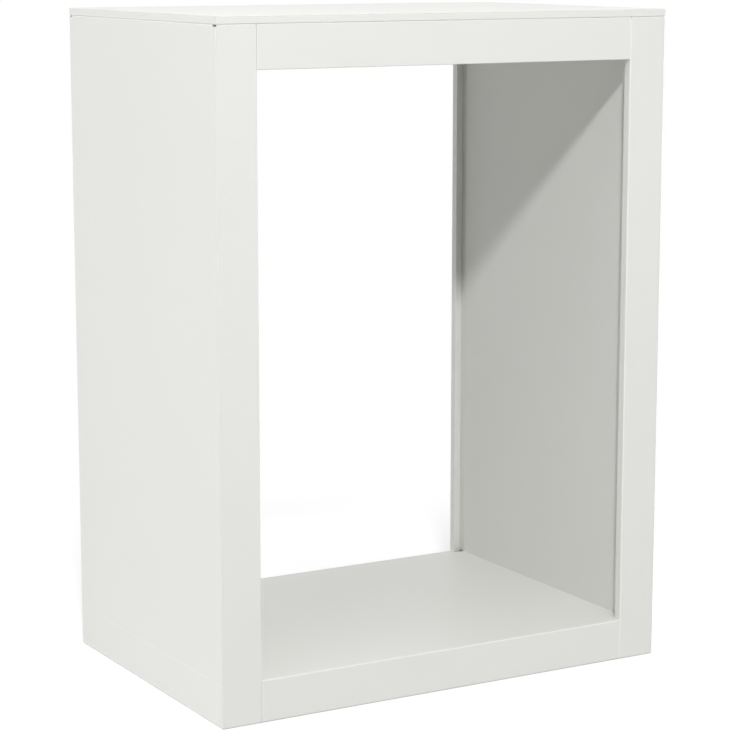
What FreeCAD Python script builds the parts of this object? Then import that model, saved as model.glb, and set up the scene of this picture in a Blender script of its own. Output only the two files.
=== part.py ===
import FreeCAD, Part
import math
import os
from enum import IntEnum

import Sketcher

# Firewood rack of folded sheet steel, open at the front and at the back.
# Frame: the origin is on the ground under the middle of the rack, +Z is up, +X is to the right
# and the front faces -Y. Lengths are in millimetres.

SIZES = {
    # The rack from outside.
    "width": 600.0,
    "depth": 400.0,
    "height": 800.0,
    # Sheet steel, its fold and the gap left between two neighbouring pieces.
    "gauge": 0.8,
    "bend_inside": 0.4,
    "seam": 0.06,
    # Frame round the opening: the face of each stile and rail, and the lip folded in behind it.
    "frame_face": 50.0,
    "frame_lip": 11.0,
    # Flange folded inwards along the top and the foot of the walls.
    "rim": 22.0,
    # Inner walls: how far they stand back from the opening, and the flanges welded to the stiles.
    "inner_wall_setback": 15.0,
    "inner_wall_flange": 16.0,
    # Lid: height of its edge and width of the flange folded in under it.
    "lid_edge": 9.0,
    "lid_return": 20.0,
    # Cuts that let two folds meet in a corner: a notch in the upper corners of the walls, and slits.
    "notch_along_wall": 7.0,
    "notch_along_stile": 1.4,
    "notch_drop": 2.2,
    "slit_start": 1.6,
    "slit": 0.8,
    # Tabs folded at the ends of the rails and of the base.
    "tab_length": 44.0,
    "tab_root": 8.0,
    # Hat-shaped stiffeners under the floor and under the lid.
    "hat_crown": 36.0,
    "hat_drop": 14.0,
    "hat_brim": 12.0,
    "hat_end_gap": 6.0,
    # Hexagon screws and nuts, thread size M4.
    "shank_diameter": 3.6,
    "shank_length": 8.0,
    "hexagon_flats": 7.0,
    "head_height": 2.8,
    "nut_height": 3.2,
    "thread_gap": 0.3,
    "hole_gap": 0.45,
    # Lid screws: distance of each from the middle of its side.
    "lid_screw_along_side": 140.0,
}

HALF_WIDTH = "(Sizes.width / 2)"
HALF_DEPTH = "(Sizes.depth / 2)"
GAUGE = "Sizes.gauge"
FACE = "Sizes.frame_face"
LIP = "Sizes.frame_lip"
RIM = "Sizes.rim"
TAB = "Sizes.tab_length"
# Outside radius of a fold.
BEND = "(Sizes.bend_inside + Sizes.gauge)"
# Height of the walls, up to the underside of the lid.
WALL = "(Sizes.height - Sizes.lid_edge)"
# Half the length of a rail, which fits between the lips of two stiles.
RAIL_HALF = "(Sizes.width / 2 - Sizes.frame_face - Sizes.seam)"
# Half the size of the floor, which fits between the side walls and behind the lips of the stiles.
FLOOR_HALF_WIDTH = f"({HALF_WIDTH} - {BEND} - Sizes.seam)"
FLOOR_HALF_DEPTH = f"({HALF_DEPTH} - {LIP} - 2 * Sizes.seam)"
# Half the clear width between the inner walls.
BAY_HALF_WIDTH = f"({HALF_WIDTH} - {FACE} + Sizes.inner_wall_setback)"
# A tab starts just behind the fold of the face beside it.
TAB_SETBACK = f"({BEND} + Sizes.seam)"
# Screws stand in the middle of the flat part of what they hold.
LIP_SCREW_INSET = f"(({BEND} + {LIP}) / 2)"
SCREW_LINE = f"({HALF_DEPTH} - {LIP_SCREW_INSET})"
LID_SCREW_INSET = f"(({BEND} + Sizes.lid_return) / 2)"
HOLE_DIAMETER = "(Sizes.shank_diameter + 2 * Sizes.hole_gap)"
NUT_BORE = "(Sizes.shank_diameter + 2 * Sizes.thread_gap)"
# A cut reaches this far past the sheet that it goes through.
PAST = "(2 * Sizes.gauge)"

WAYS = {"right": (1, 0), "left": (-1, 0), "up": (0, 1), "down": (0, -1)}


class Spot(IntEnum):
    """Which point of a line or an arc a constraint holds."""
    START = 1
    END = 2
    CENTRE = 3


class Axis(IntEnum):
    """The sketch's own axes. The start of the horizontal one is the sketch's origin."""
    HORIZONTAL = -1
    VERTICAL = -2


doc = FreeCAD.newDocument("firewood_rack")
sheet = doc.addObject("Spreadsheet::Sheet", "Sizes")
for row, (alias, number) in enumerate(SIZES.items(), start=1):
    sheet.set(f"A{row}", alias)
    sheet.set(f"B{row}", str(number))
    sheet.setAlias(f"B{row}", alias)
doc.recompute()

nodes = []


def size(expression):
    """The number that an expression gives with the sizes on the sheet."""
    return float(sheet.evalExpression(expression))


def point(x, y):
    return FreeCAD.Vector(x, y, 0)


def new_body(name):
    body = doc.addObject("PartDesign::Body", name)
    body.Label = name
    return body


def new_sketch(body, name, plane, offset=None):
    """A sketch on one of the body's own origin planes, moved along the plane's normal."""
    sketch = body.newObject("Sketcher::SketchObject", name)
    support = next(item for item in body.Origin.OriginFeatures if item.Role == plane)
    sketch.AttachmentSupport = (support, [""])
    sketch.MapMode = "FlatFace"
    if offset:
        sketch.setExpression("AttachmentOffset.Base.z", offset)
    return sketch


def bind(sketch, constraint, expression):
    """Add a dimension and tie it to the sheet."""
    index = sketch.addConstraint(constraint)
    name = f"size_{index}"
    sketch.renameConstraint(index, name)
    sketch.setExpression(f"Constraints.{name}", expression)


def pin(sketch, geometry, spot, x, y):
    """Hold one point of the sketch at a place given by two expressions."""
    here = (geometry, spot)
    origin = (Axis.HORIZONTAL, Spot.START)
    rules = (("DistanceX", Axis.VERTICAL, x), ("DistanceY", Axis.HORIZONTAL, y))
    for kind, axis, expression in rules:
        place = size(expression)
        if place == 0:
            sketch.addConstraint(Sketcher.Constraint("PointOnObject", *here, axis))
        elif place > 0:
            bind(sketch, Sketcher.Constraint(kind, *origin, *here, place), expression)
        else:
            bind(sketch, Sketcher.Constraint(kind, *here, *origin, -place), f"-({expression})")


def polygon(sketch, corners):
    """Closed outline of straight lines, with each corner held by two expressions."""
    spots = [point(size(x), size(y)) for x, y in corners]
    lines = []
    for here, there in zip(spots, spots[1:] + spots[:1]):
        lines.append(sketch.addGeometry(Part.LineSegment(here, there), False))
    for line, before in zip(lines, lines[-1:] + lines[:-1]):
        sketch.addConstraint(Sketcher.Constraint("Coincident", before, Spot.END, line, Spot.START))
    for line, (x, y) in zip(lines, corners):
        pin(sketch, line, Spot.START, x, y)


def rectangle(sketch, left, bottom, right, top):
    polygon(sketch, [(left, bottom), (right, bottom), (right, top), (left, top)])


def circle(sketch, x, y, diameter):
    round_line = Part.Circle(point(size(x), size(y)), FreeCAD.Vector(0, 0, 1), size(diameter) / 2)
    index = sketch.addGeometry(round_line, False)
    pin(sketch, index, Spot.CENTRE, x, y)
    bind(sketch, Sketcher.Constraint("Diameter", index, size(diameter)), diameter)


def turns_left(before, after):
    return before.x * after.y - before.y * after.x > 0


def fold_side(sketch, corners, ways, radii):
    """Draw one side of a folded strip: straight legs joined by tangent arcs."""
    lines = []
    for index, way in enumerate(ways):
        start = corners[index] + way * radii[index]
        end = corners[index + 1] - way * radii[index + 1]
        line = sketch.addGeometry(Part.LineSegment(start, end), False)
        direction = "Horizontal" if way.x else "Vertical"
        sketch.addConstraint(Sketcher.Constraint(direction, line))
        lines.append(line)
    arcs = []
    for index in range(1, len(ways)):
        before = ways[index - 1]
        after = ways[index]
        centre = corners[index] + (after - before) * radii[index]
        left = turns_left(before, after)
        spoke = -after if left else before
        first, last = (Spot.START, Spot.END) if left else (Spot.END, Spot.START)
        angle = math.atan2(spoke.y, spoke.x)
        round_line = Part.Circle(centre, FreeCAD.Vector(0, 0, 1), radii[index])
        quarter = Part.ArcOfCircle(round_line, angle, angle + math.pi / 2)
        arc = sketch.addGeometry(quarter, False)
        sketch.addConstraint(Sketcher.Constraint("Tangent", lines[index - 1], Spot.END, arc, first))
        sketch.addConstraint(Sketcher.Constraint("Tangent", arc, last, lines[index], Spot.START))
        arcs.append(arc)
    return lines, arcs


def fold(sketch, start, legs):
    """Outline of a strip of sheet folded at right angles.

    The legs follow one side of the strip from sharp corner to sharp corner, and the sheet lies
    to their right. Every fold has the same inside radius, whichever way it turns.
    """
    ways = [point(*WAYS[way]) for way, _ in legs]
    lengths = [length for _, length in legs]
    corners = [point(size(start[0]), size(start[1]))]
    for way, length in zip(ways, lengths):
        corners.append(corners[-1] + way * size(length))
    to_back = [point(way.y, -way.x) * size(GAUGE) for way in ways]
    shifts = [to_back[0]]
    for before, after in zip(to_back, to_back[1:]):
        shifts.append(before + after)
    shifts.append(to_back[-1])
    back_corners = [corner + shift for corner, shift in zip(corners, shifts)]

    radii = []
    back_radii = []
    for before, after in zip(ways, ways[1:]):
        left = turns_left(before, after)
        radii.append("Sizes.bend_inside" if left else BEND)
        back_radii.append(BEND if left else "Sizes.bend_inside")
    lines, arcs = fold_side(sketch, corners, ways, [0] + [size(r) for r in radii] + [0])
    back, back_arcs = fold_side(sketch, back_corners, ways, [0] + [size(r) for r in back_radii] + [0])
    for arc, back_arc, radius in zip(arcs, back_arcs, radii):
        bind(sketch, Sketcher.Constraint("Radius", arc, size(radius)), radius)
        sketch.addConstraint(Sketcher.Constraint("Coincident", arc, Spot.CENTRE, back_arc, Spot.CENTRE))

    for end, spot, way in ((0, Spot.START, ways[0]), (-1, Spot.END, ways[-1])):
        edge = sketch.addGeometry(Part.LineSegment(corners[end], back_corners[end]), False)
        sketch.addConstraint(Sketcher.Constraint("Coincident", edge, Spot.START, lines[end], spot))
        sketch.addConstraint(Sketcher.Constraint("Coincident", edge, Spot.END, back[end], spot))
        sketch.addConstraint(Sketcher.Constraint("Vertical" if way.x else "Horizontal", edge))
    bind(sketch, Sketcher.Constraint("Distance", edge, size(GAUGE)), GAUGE)

    pin(sketch, lines[0], Spot.START, *start)
    for index, (way, length) in enumerate(zip(ways, lengths)):
        near = (lines[index - 1], Spot.END) if index else (lines[0], Spot.START)
        far = (lines[index + 1], Spot.START) if index + 1 < len(lines) else (lines[index], Spot.END)
        if way.x + way.y < 0:
            near, far = far, near
        kind = "DistanceX" if way.x else "DistanceY"
        bind(sketch, Sketcher.Constraint(kind, *near, *far, size(length)), length)


def pad(body, sketch, length, symmetric=False):
    feature = body.newObject("PartDesign::Pad", f"{sketch.Name}_pad")
    feature.Profile = sketch
    feature.SideType = "Symmetric" if symmetric else "One side"
    feature.setExpression("Length", length)
    doc.recompute()
    return feature


def pocket(body, sketch, length=None, upwards=False):
    """Cut the sketch out of the body, to a given depth or right through both ways."""
    volume = body.Shape.Volume
    feature = body.newObject("PartDesign::Pocket", f"{sketch.Name}_pocket")
    feature.Profile = sketch
    if length:
        feature.setExpression("Length", length)
    else:
        feature.Type = "ThroughAll"
        feature.SideType = "Symmetric"
    feature.Reversed = upwards
    doc.recompute()
    if not 0 < body.Shape.Volume < volume:
        raise RuntimeError(f"{body.Label}: {sketch.Label} cuts nothing, or all of it")
    return feature


def mirror(body, feature, plane):
    copy = body.newObject("PartDesign::Mirrored", f"{feature.Name}_mirror")
    copy.Originals = [feature]
    support = next(item for item in body.Origin.OriginFeatures if item.Role == plane)
    copy.MirrorPlane = (support, [""])
    body.Tip = copy
    doc.recompute()


def place(item, x, y, z, rotation):
    item.Placement = FreeCAD.Placement(FreeCAD.Vector(), rotation)
    for axis, expression in (("x", x), ("y", y), ("z", z)):
        item.setExpression(f"Placement.Base.{axis}", expression)


def signed(sign, expression):
    return expression if sign > 0 else f"-({expression})"


def slits(sketch, corners, reach):
    """Diagonal slits that part two flanges where they meet in a corner.

    Each corner is a place and the two signs that point from it into the piece. A slit ends past
    the inner edge of the flanges, whose width is the reach.
    """
    half = "(Sizes.slit / 2)"
    near = "Sizes.slit_start"
    far = f"{reach} + Sizes.slit"
    for x, y, x_sign, y_sign in corners:
        outline = []
        for along, across in ((near, half), (far, half), (far, f"-{half}"), (near, f"-{half}")):
            to_x = signed(x_sign, f"({along}) + ({across})")
            to_y = signed(y_sign, f"({along}) - ({across})")
            outline.append((f"{x} + {to_x}", f"{y} + {to_y}"))
        polygon(sketch, outline)


def tabs(sketch, foot):
    """Two tabs that stand up at the ends of a rail, folded out of the flange at its foot."""
    fold(sketch, (RAIL_HALF, f"{foot} + {TAB}"), [("down", TAB), ("left", "Sizes.tab_root")])
    left_start = f"-({RAIL_HALF} - Sizes.tab_root)"
    fold(sketch, (left_start, foot), [("left", "Sizes.tab_root"), ("up", TAB)])


def tab_cuts(sketch, y_near, y_far):
    """Clear the ends of the flange for the folds of the tabs."""
    for sign in (-1, 1):
        inner = signed(sign, f"({RAIL_HALF} - {BEND})")
        outer = signed(sign, f"({RAIL_HALF} + {PAST})")
        rectangle(sketch, inner, y_near, outer, y_far)


# Height of the screws through the tabs of the base and of the top rails.
BASE_SCREW_HEIGHT = f"({FACE} / 2)"
RAIL_SCREW_HEIGHT = f"({WALL} - {FACE} / 2)"


def side_panel(name, side):
    """Side wall with both stiles in one sheet. Local X runs inwards from the outer face."""
    body = new_body(name)

    wrap = new_sketch(body, f"{name}_wrap", "XY_Plane", BEND)
    across = [("down", LIP), ("left", FACE), ("up", "Sizes.depth"), ("right", FACE), ("down", LIP)]
    fold(wrap, (FACE, f"-({HALF_DEPTH} - {LIP})"), across)
    pad(body, wrap, f"{WALL} - 2 * {BEND}")

    upright = [("left", RIM), ("up", WALL), ("right", RIM)]
    wall = new_sketch(body, f"{name}_wall", "XZ_Plane")
    fold(wall, (RIM, "0"), upright)
    pad(body, wall, f"Sizes.depth - 2 * {BEND}", symmetric=True)

    stile = new_sketch(body, f"{name}_stile", "YZ_Plane", BEND)
    fold(stile, (f"-({HALF_DEPTH} - {RIM})", "0"), upright)
    front_stile = pad(body, stile, f"{FACE} - 2 * {BEND}")
    mirror(body, front_stile, "XZ_Plane")

    mitres = new_sketch(body, f"{name}_mitres", "XY_Plane")
    slits(mitres, [("0", f"-{HALF_DEPTH}", 1, 1), ("0", HALF_DEPTH, 1, -1)], RIM)
    pocket(body, mitres)

    notches = new_sketch(body, f"{name}_notches", "XY_Plane", WALL)
    for sign in (-1, 1):
        outer = signed(sign, f"({HALF_DEPTH} + {PAST})")
        inner = signed(sign, f"({HALF_DEPTH} - Sizes.notch_along_wall)")
        rectangle(notches, f"-{PAST}", outer, "Sizes.notch_along_stile", inner)
    pocket(body, notches, "Sizes.notch_drop")

    lip_holes = new_sketch(body, f"{name}_lip_holes", "YZ_Plane", FACE)
    for sign in (-1, 1):
        for height in (BASE_SCREW_HEIGHT, RAIL_SCREW_HEIGHT):
            circle(lip_holes, signed(sign, SCREW_LINE), height, HOLE_DIAMETER)
    pocket(body, lip_holes, PAST)

    rim_holes = new_sketch(body, f"{name}_rim_holes", "XY_Plane", WALL)
    for sign in (-1, 1):
        circle(rim_holes, LID_SCREW_INSET, signed(sign, "Sizes.lid_screw_along_side"), HOLE_DIAMETER)
    pocket(body, rim_holes, PAST)

    turn = 0 if side < 0 else 180
    place(body, signed(side, HALF_WIDTH), "0", "0", FreeCAD.Rotation(FreeCAD.Vector(0, 0, 1), turn))
    nodes.append(body)


def inner_wall(name, side):
    """Inner skin of one side, which stands on the floor between the stiles. Local X runs inwards."""
    body = new_body(name)
    face = f"({FACE} - Sizes.inner_wall_setback)"
    flange = "Sizes.inner_wall_flange"
    seat = f"({HALF_DEPTH} - {GAUGE})"

    strip = new_sketch(body, f"{name}_strip", "XY_Plane", FACE)
    across = [("right", flange), ("down", f"2 * {seat}"), ("left", flange)]
    fold(strip, (f"{face} - {flange}", seat), across)
    pad(body, strip, f"{WALL} - {BEND} - Sizes.seam - {FACE}")

    turn = 0 if side < 0 else 180
    place(body, signed(side, HALF_WIDTH), "0", "0", FreeCAD.Rotation(FreeCAD.Vector(0, 0, 1), turn))
    nodes.append(body)


def top_rail(name, side):
    """Rail under the lid. Local Y runs inwards from its face and Z is up from its top edge."""
    body = new_body(name)
    foot = f"-{FACE}"

    channel = new_sketch(body, f"{name}_channel", "YZ_Plane")
    fold(channel, (LIP, foot), [("left", LIP), ("up", FACE), ("right", RIM)])
    pad(body, channel, f"2 * {RAIL_HALF}", symmetric=True)

    cuts = new_sketch(body, f"{name}_tab_cuts", "XY_Plane", foot)
    tab_cuts(cuts, BEND, f"{LIP} + {PAST}")
    pocket(body, cuts, PAST, upwards=True)

    ends = new_sketch(body, f"{name}_tabs", "XZ_Plane", f"-{LIP}")
    tabs(ends, foot)
    pad(body, ends, f"{LIP} - {TAB_SETBACK}")

    tab_holes = new_sketch(body, f"{name}_tab_holes", "YZ_Plane")
    circle(tab_holes, LIP_SCREW_INSET, f"-{FACE} / 2", HOLE_DIAMETER)
    pocket(body, tab_holes)

    turn = 0 if side < 0 else 180
    place(body, "0", signed(side, HALF_DEPTH), WALL, FreeCAD.Rotation(FreeCAD.Vector(0, 0, 1), turn))
    nodes.append(body)


def base_pan():
    """Floor in one sheet with the bottom rails and with two skirts that stand on the side rims."""
    body = new_body("base_pan")

    floor = new_sketch(body, "floor", "XZ_Plane")
    skirt = f"{FACE} - {GAUGE}"
    across = [("up", skirt), ("right", f"2 * {FLOOR_HALF_WIDTH}"), ("down", skirt)]
    fold(floor, (f"-{FLOOR_HALF_WIDTH}", GAUGE), across)
    pad(body, floor, f"2 * {FLOOR_HALF_DEPTH}", symmetric=True)

    rails = new_sketch(body, "bottom_rails", "YZ_Plane")
    along = [("left", RIM), ("up", FACE), ("right", "Sizes.depth"), ("down", FACE), ("left", RIM)]
    fold(rails, (f"-({HALF_DEPTH} - {RIM})", "0"), along)
    pad(body, rails, f"2 * {RAIL_HALF}", symmetric=True)

    cuts = new_sketch(body, "base_tab_cuts", "XY_Plane")
    for sign in (-1, 1):
        near = signed(sign, f"({HALF_DEPTH} - {BEND})")
        far = signed(sign, f"({HALF_DEPTH} - {LIP} - Sizes.seam)")
        tab_cuts(cuts, near, far)
    pocket(body, cuts, PAST, upwards=True)

    ends = new_sketch(body, "base_tabs", "XZ_Plane", f"{HALF_DEPTH} - {LIP}")
    tabs(ends, "0")
    front_tabs = pad(body, ends, f"{LIP} - {TAB_SETBACK}")
    mirror(body, front_tabs, "XZ_Plane")

    tab_holes = new_sketch(body, "base_tab_holes", "YZ_Plane")
    for sign in (-1, 1):
        circle(tab_holes, signed(sign, SCREW_LINE), BASE_SCREW_HEIGHT, HOLE_DIAMETER)
    pocket(body, tab_holes)
    nodes.append(body)


def lid_rectangle(sketch, inset):
    x = f"({HALF_WIDTH} - {inset})"
    y = f"({HALF_DEPTH} - {inset})"
    rectangle(sketch, f"-{x}", f"-{y}", x, y)


def lid_block(name, inset, bottom, height):
    """Block as large as the lid less an inset."""
    body = new_body(name)
    outline = new_sketch(body, f"{name}_outline", "XY_Plane", bottom)
    lid_rectangle(outline, inset)
    pad(body, outline, height)
    return body


def top_panel():
    """Lid, folded along its edges and closed in the corners. Local Z starts at its underside."""
    body = lid_block("top_panel", "0", None, "Sizes.lid_edge")
    block = body.Tip
    folds = body.newObject("PartDesign::Fillet", "lid_folds")
    level = [edge.BoundBox.ZLength < size(GAUGE) for edge in block.Shape.Edges]
    folds.Base = (block, [f"Edge{index}" for index, flat in enumerate(level, start=1) if flat])
    folds.setExpression("Radius", BEND)
    doc.recompute()

    inside = lid_block("lid_inside", GAUGE, GAUGE, f"Sizes.lid_edge - 2 * {GAUGE}")
    hollow = body.newObject("PartDesign::Boolean", "lid_hollow")
    hollow.Type = "Cut"
    hollow.setObjects([inside])
    doc.recompute()

    opening = new_sketch(body, "lid_opening", "XY_Plane")
    lid_rectangle(opening, "Sizes.lid_return")
    pocket(body, opening, PAST, upwards=True)

    mitres = new_sketch(body, "lid_mitres", "XY_Plane")
    corners = [(signed(i, HALF_WIDTH), signed(j, HALF_DEPTH), -i, -j) for i in (-1, 1) for j in (-1, 1)]
    slits(mitres, corners, "Sizes.lid_return")
    pocket(body, mitres, PAST, upwards=True)

    holes = new_sketch(body, "lid_holes", "XY_Plane")
    for x, y in lid_screw_places():
        circle(holes, x, y, HOLE_DIAMETER)
    pocket(body, holes, PAST, upwards=True)

    place(body, "0", "0", WALL, FreeCAD.Rotation())
    nodes.append(body)


def stiffener(name, half_length, seat):
    """Hat-shaped strip whose brims lie against the sheet above it."""
    body = new_body(name)
    hat = new_sketch(body, f"{name}_hat", "YZ_Plane")
    brim = "Sizes.hat_brim"
    drop = "Sizes.hat_drop"
    crown = "Sizes.hat_crown"
    section = [("right", brim), ("down", drop), ("right", crown), ("up", drop), ("right", brim)]
    fold(hat, (f"-({crown} / 2 + {brim})", "0"), section)
    pad(body, hat, f"2 * {half_length}", symmetric=True)
    place(body, "0", "0", seat, FreeCAD.Rotation())
    nodes.append(body)


def hexagon(sketch):
    """Outline of a screw's head or of a nut, with two flats towards local Y."""
    corner = "(Sizes.hexagon_flats / 3 ^ 0.5)"
    half = f"({corner} / 2)"
    flat = "(Sizes.hexagon_flats / 2)"
    upper = [(corner, "0"), (half, flat), (f"-{half}", flat)]
    lower = [(f"-{corner}", "0"), (f"-{half}", f"-{flat}"), (half, f"-{flat}")]
    polygon(sketch, upper + lower)


def screw():
    """Hexagon screw. Local Z runs from the seat of the head to the tip."""
    body = new_body("screw")
    head = new_sketch(body, "screw_head", "XY_Plane", "-Sizes.head_height")
    hexagon(head)
    pad(body, head, "Sizes.head_height")
    shank = new_sketch(body, "screw_shank", "XY_Plane")
    circle(shank, "0", "0", "Sizes.shank_diameter")
    pad(body, shank, "Sizes.shank_length")
    return body


def nut():
    """Hexagon nut, seated on its lower face."""
    body = new_body("nut")
    outline = new_sketch(body, "nut_outline", "XY_Plane")
    hexagon(outline)
    circle(outline, "0", "0", NUT_BORE)
    pad(body, outline, "Sizes.nut_height")
    return body


def lid_screw_places():
    """Two screws along each side of the lid, over the walls."""
    inset = f"({HALF_WIDTH} - {LID_SCREW_INSET})"
    along = "Sizes.lid_screw_along_side"
    return [(signed(i, inset), signed(j, along)) for i in (-1, 1) for j in (-1, 1)]


def fasteners(name, source, spots):
    """One node of identical fasteners: copies of one piece, each at its own spot."""
    copies = []
    for index, (x, y, z, rotation) in enumerate(spots, start=1):
        copy = doc.addObject("App::Link", f"{name}_{index}")
        copy.LinkedObject = source
        place(copy, x, y, z, rotation)
        copies.append(copy)
    group = doc.addObject("Part::Compound", name)
    group.Label = name
    group.Links = copies
    nodes.append(group)


def joint_spots(distance, height):
    """Spots at the joints of the tabs with the stiles, each pointing outwards."""
    spots = []
    for end in (-1, 1):
        outwards = FreeCAD.Rotation(FreeCAD.Vector(0, 1, 0), end * 90)
        for side in (-1, 1):
            spots.append((signed(end, distance), signed(side, SCREW_LINE), height, outwards))
    return spots


def lid_spots(height):
    return [(x, y, height, FreeCAD.Rotation()) for x, y in lid_screw_places()]


side_panel("left_side_panel", -1)
side_panel("right_side_panel", 1)
inner_wall("left_inner_wall", -1)
inner_wall("right_inner_wall", 1)
base_pan()
top_rail("front_top_rail", -1)
top_rail("rear_top_rail", 1)
top_panel()
FLOOR_HAT_HALF = f"({FLOOR_HALF_WIDTH} - {BEND} - Sizes.hat_end_gap)"
LID_HAT_HALF = f"({BAY_HALF_WIDTH} - Sizes.hat_end_gap)"
stiffener("floor_stiffener", FLOOR_HAT_HALF, f"{FACE} - {GAUGE}")
stiffener("lid_stiffener", LID_HAT_HALF, f"Sizes.height - {GAUGE}")

screw_source = screw()
nut_source = nut()
TAB_FACE = f"({RAIL_HALF} - {GAUGE})"
LIP_FACE = f"({HALF_WIDTH} - {FACE} + {GAUGE})"
fasteners("base_screws", screw_source, joint_spots(TAB_FACE, BASE_SCREW_HEIGHT))
fasteners("base_nuts", nut_source, joint_spots(LIP_FACE, BASE_SCREW_HEIGHT))
fasteners("rail_screws", screw_source, joint_spots(TAB_FACE, RAIL_SCREW_HEIGHT))
fasteners("rail_nuts", nut_source, joint_spots(LIP_FACE, RAIL_SCREW_HEIGHT))
fasteners("lid_screws", screw_source, lid_spots(f"{WALL} - {GAUGE}"))
fasteners("lid_nuts", nut_source, lid_spots(f"{WALL} + {GAUGE}"))
doc.recompute()

for item in doc.Objects:
    if "Invalid" in item.State or "Error" in item.State:
        raise RuntimeError(f"{item.Label} failed: {item.State}")
for node in nodes:
    if node.Shape.isNull() or not node.Shape.isValid():
        raise RuntimeError(f"{node.Label} has no valid shape")

os.makedirs("parts", exist_ok=True)
for node in nodes:
    node.Shape.exportStep(f"parts/{node.Label}.step")
    box = node.Shape.BoundBox
    print(f"{node.Label}: {len(node.Shape.Solids)} solids, {node.Shape.Volume:.0f} mm3, "
          f"{box.XLength:.1f} x {box.YLength:.1f} x {box.ZLength:.1f} mm")
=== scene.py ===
# %% [markdown]
# This lesson dresses a white firewood rack. Its folded sheets come from the CAD frame, in metres and
# already in place. A modelled copy of them would only drift from the real sizes, so the frame's own
# shapes stay, and Blender's share is the finish, the small screws and nuts, the light and the view.

# %% Load the frame
import math

import bpy
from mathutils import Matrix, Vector


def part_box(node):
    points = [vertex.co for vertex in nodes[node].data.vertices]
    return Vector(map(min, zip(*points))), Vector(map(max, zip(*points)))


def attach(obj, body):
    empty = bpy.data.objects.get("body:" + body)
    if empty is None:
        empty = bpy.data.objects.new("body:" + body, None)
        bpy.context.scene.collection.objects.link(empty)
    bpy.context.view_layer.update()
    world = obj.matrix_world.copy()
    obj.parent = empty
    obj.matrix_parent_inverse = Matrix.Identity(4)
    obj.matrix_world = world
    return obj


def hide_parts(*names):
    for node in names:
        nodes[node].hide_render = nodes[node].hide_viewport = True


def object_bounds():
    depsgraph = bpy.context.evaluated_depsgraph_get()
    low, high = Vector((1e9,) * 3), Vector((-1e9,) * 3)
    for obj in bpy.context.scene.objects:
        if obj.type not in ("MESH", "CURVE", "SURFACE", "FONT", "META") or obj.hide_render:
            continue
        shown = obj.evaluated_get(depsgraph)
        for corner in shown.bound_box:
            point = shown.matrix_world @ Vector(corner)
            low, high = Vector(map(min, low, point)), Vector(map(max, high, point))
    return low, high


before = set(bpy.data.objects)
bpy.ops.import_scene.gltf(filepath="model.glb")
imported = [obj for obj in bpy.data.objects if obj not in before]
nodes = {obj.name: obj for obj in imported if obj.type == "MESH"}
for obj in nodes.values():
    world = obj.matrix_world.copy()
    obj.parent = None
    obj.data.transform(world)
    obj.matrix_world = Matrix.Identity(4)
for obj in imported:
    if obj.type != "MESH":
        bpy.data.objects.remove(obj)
cad_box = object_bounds()
HALF_WIDTH = cad_box[1].x
HALF_DEPTH = cad_box[1].y
HEIGHT = cad_box[1].z
print("nodes:", sorted(nodes))
print("half width, half depth and height in metres:", HALF_WIDTH, HALF_DEPTH, HEIGHT)


# %% [markdown]
# Every finish below is a small network of shader nodes. Wiring each one by hand hides what it does,
# so a few helpers keep it readable: one adds a node and fills in its inputs, one does arithmetic, one
# mixes two colours, and one opens a node group with named sockets. An input value that is itself a
# socket is linked, and any other value is set.

# %% Helpers for node networks
def add(tree, kind, inputs=None, **settings):
    """Add a node, set its options, and fill or link its inputs by name or number."""
    node = tree.nodes.new(kind)
    for name, value in settings.items():
        setattr(node, name, value)
    for name, value in (inputs or {}).items():
        if isinstance(value, bpy.types.NodeSocket):
            tree.links.new(value, node.inputs[name])
        else:
            node.inputs[name].default_value = value
    return node


def calculate(tree, operation, first, second=0.0):
    """One step of arithmetic on numbers or sockets."""
    return add(tree, "ShaderNodeMath", {0: first, 1: second}, operation=operation).outputs[0]


def mix_colour(tree, factor, first, second):
    """Blend two colours. A Mix node keeps its colour sockets at places 6 and 7, and its result at 2."""
    return add(tree, "ShaderNodeMix", {0: factor, 6: first, 7: second}, data_type="RGBA").outputs[2]


def new_group(name, inputs, outputs):
    """A node group with number inputs that have a starting value, and number outputs."""
    tree = bpy.data.node_groups.new(name, "ShaderNodeTree")
    tree.interface.new_socket("Vector", in_out="INPUT", socket_type="NodeSocketVector")
    for label, value in inputs.items():
        socket = tree.interface.new_socket(label, in_out="INPUT", socket_type="NodeSocketFloat")
        socket.default_value = value
    for label in outputs:
        tree.interface.new_socket(label, in_out="OUTPUT", socket_type="NodeSocketFloat")
    source = tree.nodes.new("NodeGroupInput")
    result = tree.nodes.new("NodeGroupOutput")
    return tree, source.outputs, result


print("helpers ready")


# %% [markdown]
# Powder coat is sprayed on dry and melts in an oven. It flows into a very fine orange peel, about a
# millimetre from dimple to dimple, and its tone drifts a little over a large sheet. The peel is a
# height for a Bump node, and the drift is a slow noise that later shifts colour and gloss.

# %% Grain of the powder coat
PEEL_SCALE = 850.0
DRIFT_SCALE = 3.2


def make_coat_grain():
    tree, given, result = new_group("coat_grain", {"Peel Scale": PEEL_SCALE, "Drift Scale": DRIFT_SCALE},
                                    ["Peel", "Drift"])
    peel = add(tree, "ShaderNodeTexNoise", {"Vector": given["Vector"], "Scale": given["Peel Scale"],
                                            "Detail": 2.0, "Roughness": 0.45})
    drift = add(tree, "ShaderNodeTexNoise", {"Vector": given["Vector"], "Scale": given["Drift Scale"],
                                             "Detail": 3.0, "Roughness": 0.5})
    tree.links.new(peel.outputs["Fac"], result.inputs["Peel"])
    tree.links.new(drift.outputs["Fac"], result.inputs["Drift"])
    return tree


coat_grain = make_coat_grain()
print("coat_grain:", len(coat_grain.nodes), "nodes")
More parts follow.
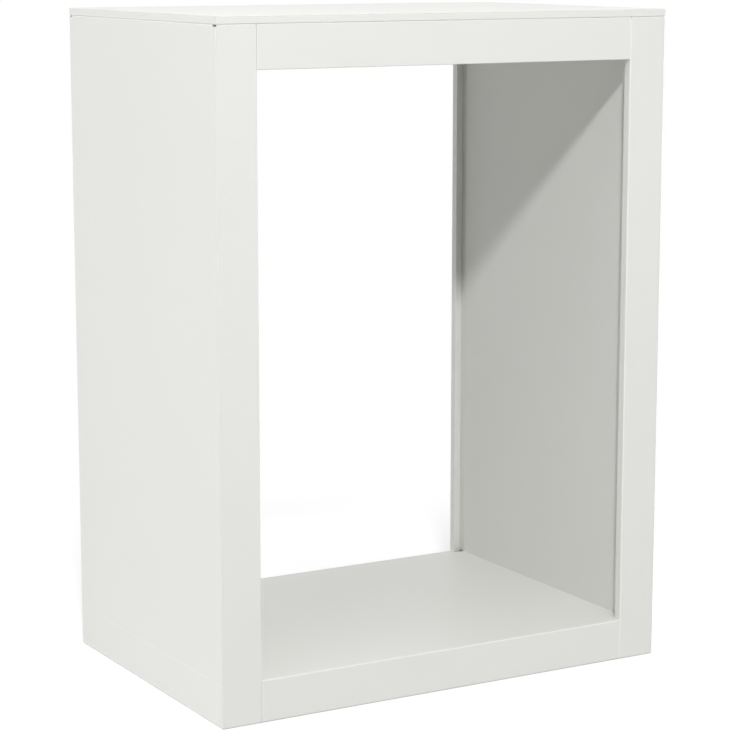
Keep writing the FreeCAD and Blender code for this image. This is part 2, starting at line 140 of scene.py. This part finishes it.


# %% [markdown]
# The outer corners and box edges are painted a shade darker, which is painted shade that tones down
# the highlight on their rounded folds. Seams, inner folds and the joint under the lid are painted
# lighter, a painted highlight that lightens the shade in their grooves. The fold on which the rails
# stand gets the darkest painted shade. A curvature map would need baking, but the rack is a box with
# known folds, so a group finds them from Object coordinates alone: a point lies on a fold where it is
# close to two planes at once.

# %% Folds of the box
FOLD_REACH = 0.0022
FRAME_FACE = 0.05
LID_EDGE = 0.009
WALL_HEIGHT = HEIGHT - LID_EDGE


def near(tree, value, plane, reach):
    """1 on a plane, falling smoothly to 0 at the given reach."""
    away = calculate(tree, "ABSOLUTE", calculate(tree, "SUBTRACT", value, plane))
    slope = add(tree, "ShaderNodeMapRange",
                {"Value": away, "From Max": reach, "To Min": 1.0, "To Max": 0.0},
                interpolation_type="SMOOTHSTEP")
    return slope.outputs["Result"]


def make_fold_lines():
    tree, given, result = new_group("fold_lines", {"Reach": FOLD_REACH}, ["Corner_Shade", "Seam", "Foot_Shade"])
    reach = given["Reach"]
    axes = add(tree, "ShaderNodeSeparateXYZ", {"Vector": given["Vector"]}).outputs
    x = calculate(tree, "ABSOLUTE", axes["X"])
    y = calculate(tree, "ABSOLUTE", axes["Y"])
    z = axes["Z"]
    side = near(tree, x, HALF_WIDTH, reach)
    face = near(tree, y, HALF_DEPTH, reach)
    outside = calculate(tree, "MAXIMUM", side, face)
    bottom = near(tree, z, 0.0, reach)
    below_lid = calculate(tree, "LESS_THAN", z, WALL_HEIGHT)

    # Mask for the painted shade on the outer corners and the edges of the box.
    corner = calculate(tree, "MULTIPLY", calculate(tree, "MULTIPLY", side, face), below_lid)
    ends = calculate(tree, "MAXIMUM", bottom, near(tree, z, HEIGHT, reach))
    corner = calculate(tree, "MAXIMUM", corner, calculate(tree, "MULTIPLY", outside, ends))
    tree.links.new(corner, result.inputs["Corner_Shade"])

    # Mask for the painted highlight along the seams, the inner folds and the joint under the lid.
    rails = near(tree, z, FRAME_FACE, reach)
    rails = calculate(tree, "MAXIMUM", rails, near(tree, z, WALL_HEIGHT - FRAME_FACE, reach))
    between = calculate(tree, "LESS_THAN", x, HALF_WIDTH - FRAME_FACE)
    inner = calculate(tree, "MAXIMUM", near(tree, x, HALF_WIDTH - FRAME_FACE, reach),
                      calculate(tree, "MULTIPLY", rails, between))
    seam = calculate(tree, "MULTIPLY", calculate(tree, "MULTIPLY", inner, face), below_lid)
    under_lid = calculate(tree, "MULTIPLY", side, near(tree, z, WALL_HEIGHT, reach))
    tree.links.new(calculate(tree, "MAXIMUM", seam, under_lid), result.inputs["Seam"])

    # Mask for the painted shade along the bottom fold of the front and the rear.
    tree.links.new(calculate(tree, "MULTIPLY", face, bottom), result.inputs["Foot_Shade"])
    return tree


fold_lines = make_fold_lines()
print("fold_lines:", len(fold_lines.nodes), "nodes")


# %% [markdown]
# The coat itself is one Principled shader: a warm white with a satin gloss. The drift moves its colour
# and roughness by a few percent and the folds move them a little further, with painted shade and painted
# highlight in the colour, and the peel feeds a shallow Bump. Both groups are placed in every coat with
# their own values.

# %% Powder coat
WHITE = (0.80, 0.80, 0.772, 1.0)
WHITE_DRIFT = (0.785, 0.785, 0.757, 1.0)
# Painted shade for the corners and welds, painted highlight for the seams, painted shade for the foot.
PAINTED_SHADE_WHITE = (0.67, 0.67, 0.65, 1.0)
CORNER_SHADE_SHARE = 0.85
SEAM_HIGHLIGHT_WHITE = (0.90, 0.90, 0.873, 1.0)
SEAM_HIGHLIGHT_SHARE = 0.6
FOOT_SHADE_WHITE = (0.58, 0.58, 0.56, 1.0)
FOOT_SHADE_SHARE = 0.6
COAT_ROUGHNESS = 0.44
GLOSS_DRIFT = 0.12
SEAM_GLOSS = 0.06
PEEL_DEPTH = 0.00003
NOISE_MIDDLE = 0.5


def new_material(name):
    """An empty Principled material, with the Object coordinates that its patterns will read."""
    material = bpy.data.materials.new(name)
    material.use_nodes = True
    tree = material.node_tree
    tree.nodes.clear()
    shader = tree.nodes.new("ShaderNodeBsdfPrincipled")
    add(tree, "ShaderNodeOutputMaterial", {"Surface": shader.outputs["BSDF"]})
    place = tree.nodes.new("ShaderNodeTexCoord").outputs["Object"]
    return material, tree, shader, place


def powder_coat(name, drift_shift, extra=None):
    """White satin powder coat. The extra function may change the colour and add to the height."""
    material, tree, shader, place = new_material(name)
    moved = add(tree, "ShaderNodeMapping", {"Vector": place, "Location": drift_shift}).outputs[0]
    grain = add(tree, "ShaderNodeGroup",
                {"Vector": moved, "Peel Scale": PEEL_SCALE, "Drift Scale": DRIFT_SCALE},
                node_tree=coat_grain).outputs
    folds = add(tree, "ShaderNodeGroup", {"Vector": place, "Reach": FOLD_REACH},
                node_tree=fold_lines).outputs

    colour = mix_colour(tree, grain["Drift"], WHITE, WHITE_DRIFT)
    # Painted shade on the corners and the foot, painted highlight along the seams and inner folds.
    for fold, share, shade in (("Corner_Shade", CORNER_SHADE_SHARE, PAINTED_SHADE_WHITE), ("Seam", SEAM_HIGHLIGHT_SHARE, SEAM_HIGHLIGHT_WHITE),
                               ("Foot_Shade", FOOT_SHADE_SHARE, FOOT_SHADE_WHITE)):
        colour = mix_colour(tree, calculate(tree, "MULTIPLY", folds[fold], share), colour, shade)
    height = calculate(tree, "MULTIPLY", grain["Peel"], PEEL_DEPTH)
    if extra:
        colour, height = extra(tree, place, colour, height)

    swing = calculate(tree, "SUBTRACT", grain["Drift"], NOISE_MIDDLE)
    gloss = calculate(tree, "MULTIPLY", swing, GLOSS_DRIFT)
    gloss = calculate(tree, "SUBTRACT", gloss, calculate(tree, "MULTIPLY", folds["Seam"], SEAM_GLOSS))
    bump = add(tree, "ShaderNodeBump", {"Height": height, "Distance": 1.0, "Strength": 1.0})
    tree.links.new(colour, shader.inputs["Base Color"])
    tree.links.new(calculate(tree, "ADD", gloss, COAT_ROUGHNESS), shader.inputs["Roughness"])
    tree.links.new(bump.outputs["Normal"], shader.inputs["Normal"])
    return material


print("powder coat ready, roughness", COAT_ROUGHNESS)


# %% [markdown]
# The plain sheets take the coat as it is. Each gets its own copy with the drift moved to another part
# of the noise, because sheets are hung and sprayed one by one and no two have quite the same tone.

# %% Coat on the rails, lid, base and inner walls
def dress(node, material):
    """Give a CAD node one material and leave its mesh alone."""
    mesh = nodes[node].data
    mesh.materials.clear()
    mesh.materials.append(material)
    print(f"{node}: {material.name}")


dress("front_top_rail", powder_coat("front_rail_coat", (0.3, 0.1, 0.0)))
dress("rear_top_rail", powder_coat("rear_rail_coat", (1.3, 0.6, 0.2)))
dress("top_panel", powder_coat("lid_coat", (2.1, 0.4, 1.0)))
dress("base_pan", powder_coat("base_coat", (4.0, 2.0, 0.5)))
dress("left_inner_wall", powder_coat("left_inner_coat", (7.0, 2.0, 4.0)))
dress("right_inner_wall", powder_coat("right_inner_coat", (8.0, 5.0, 1.0)))


# %% [markdown]
# The skirt of the base stands against the inside of each side wall, and its upper fold just shows
# through the thin sheet as a faint line, which starts at the front corner and fades before the rear
# one. It is far too slight to model, so the wall's coat gets a painted highlight along it and its
# height rises by a trace there.

# %% Side walls with the faint line of the base
READ_THROUGH_REACH = 0.0016
READ_THROUGH_HIGHLIGHT_WHITE = (0.84, 0.84, 0.812, 1.0)
READ_THROUGH_HIGHLIGHT_SHARE = 0.7
READ_THROUGH_DEPTH = 0.00004
READ_THROUGH_FADE = 0.13
READ_THROUGH_END = 0.16
OUTER_SKIN = 0.0002


def read_through(tree, place, colour, height):
    """Paint a highlight along the top of the skirt and raise the coat a trace there, on the outer face
    only.
    """
    axes = add(tree, "ShaderNodeSeparateXYZ", {"Vector": place}).outputs
    line = near(tree, axes["Z"], FRAME_FACE, READ_THROUGH_REACH)
    fade = add(tree, "ShaderNodeMapRange", {"Value": axes["Y"], "From Min": READ_THROUGH_FADE,
                                            "From Max": READ_THROUGH_END, "To Min": 1.0, "To Max": 0.0})
    line = calculate(tree, "MULTIPLY", line, fade.outputs["Result"])
    outward = calculate(tree, "ABSOLUTE", axes["X"])
    on_face = calculate(tree, "GREATER_THAN", outward, HALF_WIDTH - OUTER_SKIN)
    line = calculate(tree, "MULTIPLY", line, on_face)
    # The lighter tone along the line is a painted highlight.
    painted_highlight = calculate(tree, "MULTIPLY", line, READ_THROUGH_HIGHLIGHT_SHARE)
    raised = calculate(tree, "MULTIPLY", line, READ_THROUGH_DEPTH)
    return mix_colour(tree, painted_highlight, colour, READ_THROUGH_HIGHLIGHT_WHITE), calculate(tree, "ADD", height, raised)


dress("left_side_panel", powder_coat("left_wall_coat", (0.0, 3.0, 2.0), read_through))
dress("right_side_panel", powder_coat("right_wall_coat", (5.0, 1.0, 3.0), read_through))


# %% [markdown]
# The stiffeners are spot-welded to the sheets above them before the rack is painted. A weld leaves a
# round dimple, which the powder softens. The welds repeat along both brims, so the group folds the
# length of the strip into one pitch and measures the distance from its middle.

# %% Stiffeners with spot welds
WELD_PITCH = 0.07
WELD_RADIUS = 0.0028
WELD_ROW = 0.024
WELD_DEPTH = 0.0004
WELD_SHADE_SHARE = 0.5


def make_weld_spots():
    tree, given, result = new_group("weld_spots", {"Pitch": WELD_PITCH, "Radius": WELD_RADIUS,
                                                   "Row": WELD_ROW}, ["Dimple"])
    axes = add(tree, "ShaderNodeSeparateXYZ", {"Vector": given["Vector"]}).outputs
    half = calculate(tree, "MULTIPLY", given["Pitch"], 0.5)
    along = calculate(tree, "SUBTRACT", half, calculate(tree, "PINGPONG", axes["X"], half))
    across = calculate(tree, "SUBTRACT", calculate(tree, "ABSOLUTE", axes["Y"]), given["Row"])
    squares = calculate(tree, "ADD", calculate(tree, "POWER", along, 2.0),
                        calculate(tree, "POWER", across, 2.0))
    slope = add(tree, "ShaderNodeMapRange",
                {"Value": calculate(tree, "SQRT", squares), "From Max": given["Radius"],
                 "To Min": 1.0, "To Max": 0.0},
                interpolation_type="SMOOTHERSTEP")
    tree.links.new(slope.outputs["Result"], result.inputs["Dimple"])
    return tree


weld_spots = make_weld_spots()


def welded(tree, place, colour, height):
    """Press the welds into the coat and paint a little shade into each dimple."""
    dimple = add(tree, "ShaderNodeGroup", {"Vector": place}, node_tree=weld_spots).outputs["Dimple"]
    shaded = calculate(tree, "MULTIPLY", dimple, WELD_SHADE_SHARE)
    pressed = calculate(tree, "MULTIPLY", dimple, WELD_DEPTH)
    return mix_colour(tree, shaded, colour, PAINTED_SHADE_WHITE), calculate(tree, "SUBTRACT", height, pressed)


dress("floor_stiffener", powder_coat("floor_stiffener_coat", (3.0, 3.0, 1.0), welded))
dress("lid_stiffener", powder_coat("lid_stiffener_coat", (6.0, 2.0, 2.0), welded))


# %% [markdown]
# The screws and nuts are steel with a bright zinc plate. Zinc grows in small crystals, so its gloss
# changes from grain to grain. A Voronoi cell colour gives each crystal its own shade, and a Principled
# shader with full Metallic does the rest.

# %% Zinc plate
ZINC = (0.60, 0.61, 0.62, 1.0)
ZINC_PALE = (0.69, 0.70, 0.72, 1.0)
ZINC_CRYSTALS = 5200.0
ZINC_ROUGHNESS = 0.26
CRYSTAL_GLOSS = 0.12
BRUSH_SCALE = 700.0
BRUSH_DEPTH = 0.00002


def zinc_plate(name):
    material, tree, shader, place = new_material(name)
    cells = add(tree, "ShaderNodeTexVoronoi", {"Vector": place, "Scale": ZINC_CRYSTALS})
    shade = add(tree, "ShaderNodeSeparateColor", {"Color": cells.outputs["Color"]}).outputs[0]
    tree.links.new(mix_colour(tree, shade, ZINC, ZINC_PALE), shader.inputs["Base Color"])
    rough = calculate(tree, "ADD", calculate(tree, "MULTIPLY", shade, CRYSTAL_GLOSS), ZINC_ROUGHNESS)
    tree.links.new(rough, shader.inputs["Roughness"])
    brushed = add(tree, "ShaderNodeTexNoise", {"Vector": place, "Scale": BRUSH_SCALE, "Detail": 3.0})
    height = calculate(tree, "MULTIPLY", brushed.outputs["Fac"], BRUSH_DEPTH)
    bump = add(tree, "ShaderNodeBump", {"Height": height, "Distance": 1.0})
    tree.links.new(bump.outputs["Normal"], shader.inputs["Normal"])
    shader.inputs["Metallic"].default_value = 1.0
    return material


zinc = zinc_plate("zinc_plate")
print("zinc_plate:", len(zinc.node_tree.nodes), "nodes")


# %% [markdown]
# The CAD frame holds plain hexagons and smooth shanks for its screws and nuts, which keeps it light.
# Up close they are turned on a lathe, so the pieces start as round bars with tapered ends. A bar is a
# cylinder, and its end is extruded along the axis and then made narrower or wider.

# %% Round bars with tapered ends
FLAT_END = 0.99


def pick_ends(piece, up, down):
    """In edit mode, select the flat end faces that look up, down or both ways."""
    bpy.ops.object.mode_set(mode="EDIT")
    bpy.ops.mesh.select_mode(type="FACE")
    bpy.ops.mesh.select_all(action="DESELECT")
    bpy.ops.object.mode_set(mode="OBJECT")
    for face in piece.data.polygons:
        face.select = (up and face.normal.z > FLAT_END) or (down and face.normal.z < -FLAT_END)
    bpy.ops.object.mode_set(mode="EDIT")


def taper_end(piece, rise, factor):
    """Extrude one end of a round bar along its axis and make the new end wider or narrower."""
    pick_ends(piece, up=rise > 0, down=rise < 0)
    bpy.ops.mesh.extrude_region_move(TRANSFORM_OT_translate={"value": (0.0, 0.0, rise)})
    bpy.ops.transform.resize(value=(factor, factor, 1.0), center_override=(0.0, 0.0, 0.0))
    bpy.ops.object.mode_set(mode="OBJECT")


def round_bar(vertices, radius, low, high):
    """A bar on the Z axis between two heights."""
    bpy.ops.object.select_all(action="DESELECT")
    bpy.ops.mesh.primitive_cylinder_add(vertices=vertices, radius=radius, depth=high - low,
                                        location=(0.0, 0.0, (low + high) / 2))
    bpy.ops.object.transform_apply(location=True)
    return bpy.context.object


print("bars ready")


# %% [markdown]
# A screw's head and a nut are cut from hexagon bar with the corners turned off, so each flat ends in a
# soft arc. Turning is an intersection: a hexagon and a round blank with a tapered end, joined by a
# Boolean modifier. Each piece is modelled once, upright at the origin, with its seat at height 0.

# %% Hexagon with turned corners
FLATS = 0.007
CORNER_RADIUS = FLATS / math.sqrt(3.0)
TURNED_SHARE = 0.95
TURNED_RADIUS = TURNED_SHARE * FLATS / 2
TURNED_SLOPE = math.radians(30.0)
TURNED_DROP = (CORNER_RADIUS - TURNED_RADIUS) * math.tan(TURNED_SLOPE)
HALF_CORNER = math.radians(30.0)
BLANK_SIDES = 48


def cut(piece, tool, operation):
    """Combine a piece with a tool by a Boolean modifier, then throw the tool away."""
    bpy.context.view_layer.objects.active = piece
    modifier = piece.modifiers.new("cut", "BOOLEAN")
    modifier.operation = operation
    modifier.object = tool
    modifier.solver = "EXACT"
    bpy.ops.object.modifier_apply(modifier="cut")
    bpy.data.objects.remove(tool)


def hexagon_bar(low, high, turned_top):
    """Hexagon with its lower corners turned off, and its upper ones too where asked."""
    bar = round_bar(6, CORNER_RADIUS, low, high)
    bar.rotation_euler.z = HALF_CORNER
    bpy.ops.object.transform_apply(rotation=True)
    top = high - TURNED_DROP if turned_top else high
    blank = round_bar(BLANK_SIDES, CORNER_RADIUS, low + TURNED_DROP, top)
    taper_end(blank, -TURNED_DROP, TURNED_RADIUS / CORNER_RADIUS)
    if turned_top:
        taper_end(blank, TURNED_DROP, TURNED_RADIUS / CORNER_RADIUS)
    cut(bar, blank, "INTERSECT")
    return bar


print("hexagon corner radius:", round(CORNER_RADIUS * 1000, 3), "mm")


# %% [markdown]
# A thread is a ridge wound up a core. It could be carved, but winding is closer to how it looks: a
# small diamond stands at the core's surface, a Screw modifier sweeps it round and up by one pitch per
# turn, and its two open ends are filled. The ridge is a little smaller than the bore of the nut.

# %% Thread
CORE_RADIUS = 0.00162
CREST_RADIUS = 0.00196
PITCH = 0.0007
THREAD_START = 0.0006
THREAD_TURNS = 9
THREAD_STEPS = 24
QUARTER_TURN = math.radians(90.0)


def thread_ridge():
    bpy.ops.object.select_all(action="DESELECT")
    bpy.ops.mesh.primitive_circle_add(vertices=4, radius=CREST_RADIUS - CORE_RADIUS,
                                      location=(CORE_RADIUS, 0.0, THREAD_START),
                                      rotation=(QUARTER_TURN, 0.0, 0.0))
    ridge = bpy.context.object
    bpy.ops.object.transform_apply(location=True, rotation=True)
    winding = ridge.modifiers.new("winding", "SCREW")
    winding.screw_offset = PITCH
    winding.iterations = THREAD_TURNS
    winding.steps = THREAD_STEPS
    winding.render_steps = THREAD_STEPS
    bpy.ops.object.modifier_apply(modifier="winding")
    bpy.ops.object.mode_set(mode="EDIT")
    bpy.ops.mesh.select_mode(type="EDGE")
    bpy.ops.mesh.select_all(action="DESELECT")
    bpy.ops.mesh.select_non_manifold()
    bpy.ops.mesh.fill_holes(sides=4)
    bpy.ops.mesh.select_all(action="SELECT")
    bpy.ops.mesh.normals_make_consistent(inside=False)
    bpy.ops.object.mode_set(mode="OBJECT")
    return ridge


print("thread of", THREAD_TURNS, "turns ready")


# %% [markdown]
# The screw is the turned hexagon with a core that tapers at its tip. Head and core are united by a
# Boolean, and the ridge, whose root lies inside the core, is joined on as it is.

# %% Screw
HEAD_HEIGHT = 0.0028
SHANK_LENGTH = 0.008
CORE_SIDES = 24
TIP_TAPER = 0.0005
TIP_SHARE = 0.7
SMOOTH_ANGLE = math.radians(25.0)


def select_only(*pieces):
    """Select these pieces alone and make the last one active."""
    bpy.ops.object.select_all(action="DESELECT")
    for piece in pieces:
        piece.select_set(True)
    bpy.context.view_layer.objects.active = pieces[-1]


def model_screw():
    head = hexagon_bar(-HEAD_HEIGHT, 0.0, turned_top=False)
    core = round_bar(CORE_SIDES, CORE_RADIUS, -HEAD_HEIGHT / 2, SHANK_LENGTH - TIP_TAPER)
    taper_end(core, TIP_TAPER, TIP_SHARE)
    cut(head, core, "UNION")
    select_only(thread_ridge(), head)
    bpy.ops.object.join()
    bpy.ops.object.shade_smooth_by_angle(angle=SMOOTH_ANGLE)
    head.name = "screw"
    return head


screw = model_screw()
print("screw:", len(screw.data.polygons), "faces")


# %% [markdown]
# A nut is the same bar with both ends turned and a bore through it. The drill that makes the bore is a
# round bar whose ends flare, because a nut is countersunk so that the screw finds its way in. Its ends
# stand a little past the nut, because a Boolean is unsure of faces that lie in one plane.

# %% Nut
NUT_HEIGHT = 0.0032
BORE_RADIUS = 0.0021
BORE_SIDES = 32
SINK_DEPTH = 0.0003
SINK_FLARE = 1.2
DRILL_SHARE = 1.2
DRILL_RISE = DRILL_SHARE * SINK_DEPTH


def model_nut():
    nut = hexagon_bar(0.0, NUT_HEIGHT, turned_top=True)
    drill = round_bar(BORE_SIDES, BORE_RADIUS, SINK_DEPTH, NUT_HEIGHT - SINK_DEPTH)
    for rise in (-DRILL_RISE, DRILL_RISE):
        taper_end(drill, rise, SINK_FLARE)
    cut(nut, drill, "DIFFERENCE")
    select_only(nut)
    bpy.ops.object.shade_smooth_by_angle(angle=SMOOTH_ANGLE)
    nut.name = "nut"
    return nut


nut = model_nut()
print("nut:", len(nut.data.polygons), "faces")


# %% [markdown]
# Every group holds four equal pieces, in mirrored places that its CAD box already tells: the tips lie
# in the outer planes of the box, and the flats touch its sides. So the piece is duplicated, turned
# and moved to each corner of the box, and the four copies are joined into one object per group.

# %% Fasteners in place
def corner_places(node, length):
    """Seat and turn of the four fasteners in one group, from its CAD box."""
    low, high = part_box(node)
    row = high.y - FLATS / 2
    places = []
    for side in (-1, 1):
        for y in (-row, row):
            if node.startswith("lid"):
                places.append(((side * (high.x - CORNER_RADIUS), y, high.z - length), (0.0, 0.0, 0.0)))
            else:
                seat = (side * (high.x - length), y, (low.z + high.z) / 2)
                places.append((seat, (0.0, side * QUARTER_TURN, 0.0)))
    return places


def place_group(node, source, length):
    """Copy one fastener to its four places and let the joined copies stand for the CAD node."""
    copies = []
    for seat, turn in corner_places(node, length):
        select_only(source)
        bpy.ops.object.duplicate(linked=False)
        copy = bpy.context.object
        copy.location = seat
        copy.rotation_euler = turn
        bpy.ops.object.transform_apply(location=True, rotation=True)
        copies.append(copy)
    select_only(*copies)
    bpy.ops.object.join()
    piece = bpy.context.object
    piece.name = "detailed_" + node
    piece.data.materials.clear()
    piece.data.materials.append(zinc)
    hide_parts(node)
    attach(piece, "root")
    print(f"{piece.name}: {len(copies)} pieces, {len(piece.data.polygons)} faces")


for group in ("base", "rail", "lid"):
    place_group(group + "_screws", screw, SHANK_LENGTH)
    place_group(group + "_nuts", nut, NUT_HEIGHT)
for model in (screw, nut):
    bpy.data.objects.remove(model)


# %% [markdown]
# The rack stands on a plain floor that is white to the camera but keeps the soft shadow under the
# edges. For rays from the camera, the floor glows a little and adds the light that falls on it, and
# further out it turns into plain white. All other rays meet an ordinary pale floor.

# %% Floor
FLOOR_SIZE = 14.0
FLOOR_DROP = 0.0004
FLOOR_GREY = (0.6, 0.6, 0.6, 1.0)
FLOOR_ROUGHNESS = 0.9
FLOOR_GLOW = 0.52
PLAIN_WHITE = 1.0
SHADOW_START = 0.45
SHADOW_END = 0.9


def seen_directly(tree):
    """1 for rays that show the background: from the camera, from a reflection or through glass."""
    path = tree.nodes.new("ShaderNodeLightPath").outputs
    shown = calculate(tree, "MAXIMUM", path["Is Camera Ray"], path["Is Glossy Ray"])
    return calculate(tree, "MAXIMUM", shown, path["Is Transmission Ray"])


def floor_finish():
    material, tree, shader, place = new_material("studio_floor")
    shader.inputs["Base Color"].default_value = FLOOR_GREY
    shader.inputs["Roughness"].default_value = FLOOR_ROUGHNESS
    shader.inputs["Specular IOR Level"].default_value = 0.0
    glow = add(tree, "ShaderNodeEmission", {"Strength": FLOOR_GLOW})
    lifted = add(tree, "ShaderNodeAddShader", {0: shader.outputs[0], 1: glow.outputs[0]})
    white = add(tree, "ShaderNodeEmission", {"Strength": PLAIN_WHITE})
    away = add(tree, "ShaderNodeVectorMath", {0: place}, operation="LENGTH").outputs["Value"]
    far = add(tree, "ShaderNodeMapRange",
              {"Value": away, "From Min": SHADOW_START, "From Max": SHADOW_END},
              interpolation_type="SMOOTHSTEP").outputs["Result"]
    shown = add(tree, "ShaderNodeMixShader", {0: far, 1: lifted.outputs[0], 2: white.outputs[0]})
    all_rays = add(tree, "ShaderNodeMixShader",
                   {0: seen_directly(tree), 1: shader.outputs[0], 2: shown.outputs[0]})
    output = next(node for node in tree.nodes if node.type == "OUTPUT_MATERIAL")
    tree.links.new(all_rays.outputs[0], output.inputs["Surface"])
    return material


bpy.ops.object.select_all(action="DESELECT")
bpy.ops.mesh.primitive_plane_add(size=FLOOR_SIZE, location=(0.0, 0.0, -FLOOR_DROP))
floor = bpy.context.object
floor.name = "studio_floor"
bpy.ops.object.transform_apply(location=True)
floor.data.materials.append(floor_finish())
print("floor:", FLOOR_SIZE, "m wide")


# %% [markdown]
# White on white only reads through soft shading, so most of the light is broad. A small key lamp from
# the left of the front casts the rail's shadow into the rack, a large one hangs overhead, and four low
# ones stand around it. A lamp that mirrors in a white sheet turns it blank, so the low ones stay below
# the level of the lid, and the key and the rear lamp are kept out of the gloss.

# %% Lamps
def softbox(name, place, target, width, height, watts):
    """A rectangular area lamp that looks at a target."""
    bpy.ops.object.light_add(type="AREA", location=place)
    lamp = bpy.context.object
    lamp.name = name
    lamp.data.shape = "RECTANGLE"
    lamp.data.size = width
    lamp.data.size_y = height
    lamp.data.energy = watts
    lamp.rotation_euler = (Vector(target) - Vector(place)).to_track_quat("-Z", "Y").to_euler()
    print(f"{name}: {watts} W")
    return lamp


MIDDLE = (0.0, 0.0, HEIGHT / 2)
LOW = 0.45
LOW_MIDDLE = (0.0, 0.0, LOW)
LOW_TALL = 0.65
key = softbox("key", (-2.2, -4.4, 4.2), MIDDLE, 0.4, 0.4, 200.0)
softbox("overhead", (-0.4, -0.6, 3.2), MIDDLE, 3.0, 3.0, 51.4)
softbox("front", (1.4, -3.5, LOW), LOW_MIDDLE, 2.2, LOW_TALL, 16.3)
softbox("left", (-3.6, 0.0, LOW), LOW_MIDDLE, 0.9, LOW_TALL, 41.0)
rear = softbox("rear", (1.3, 4.0, LOW), LOW_MIDDLE, 1.4, LOW_TALL, 65.0)
softbox("right", (3.5, 0.8, LOW), LOW_MIDDLE, 2.0, LOW_TALL, 50.0)
for lamp in (key, rear):
    lamp.visible_glossy = False


# %% [markdown]
# A dim world fills the shadows. It could be one Background node, but then the backdrop would be grey,
# so a second one is shown to the camera and in reflections, as plain white as a studio's paper.

# %% World
WORLD_STRENGTH = 0.14
WORLD_WHITE = (1.0, 1.0, 1.0, 1.0)

world = bpy.data.worlds.new("studio")
world.use_nodes = True
sky = world.node_tree
sky.nodes.clear()
fill = add(sky, "ShaderNodeBackground", {"Color": WORLD_WHITE, "Strength": WORLD_STRENGTH})
backdrop = add(sky, "ShaderNodeBackground", {"Color": WORLD_WHITE, "Strength": PLAIN_WHITE})
both = add(sky, "ShaderNodeMixShader", {0: seen_directly(sky), 1: fill.outputs[0], 2: backdrop.outputs[0]})
add(sky, "ShaderNodeOutputWorld", {"Surface": both.outputs[0]})
bpy.context.scene.world = world
print("world:", WORLD_STRENGTH)


# %% [markdown]
# The camera stands to the left of the front, a little above the lid, and looks slightly down through
# a long lens, so that the box keeps almost parallel edges. Its place, turn and lens were worked out
# from the corners of the rack.

# %% Camera
CAMERA_PLACE = (-1.455, -2.538, 0.876)
CAMERA_TURN = 29.90
CAMERA_TILT = 10.02
CAMERA_LENS = 117.3
SENSOR_WIDTH = 36.0

bpy.ops.object.camera_add(location=CAMERA_PLACE)
camera = bpy.context.object
camera.rotation_euler = (math.radians(90.0 - CAMERA_TILT), 0.0, math.radians(-CAMERA_TURN))
camera.data.lens = CAMERA_LENS
camera.data.sensor_width = SENSOR_WIDTH
bpy.context.scene.camera = camera
bpy.context.scene.view_settings.view_transform = "Standard"
print("camera:", CAMERA_PLACE, CAMERA_LENS, "mm")
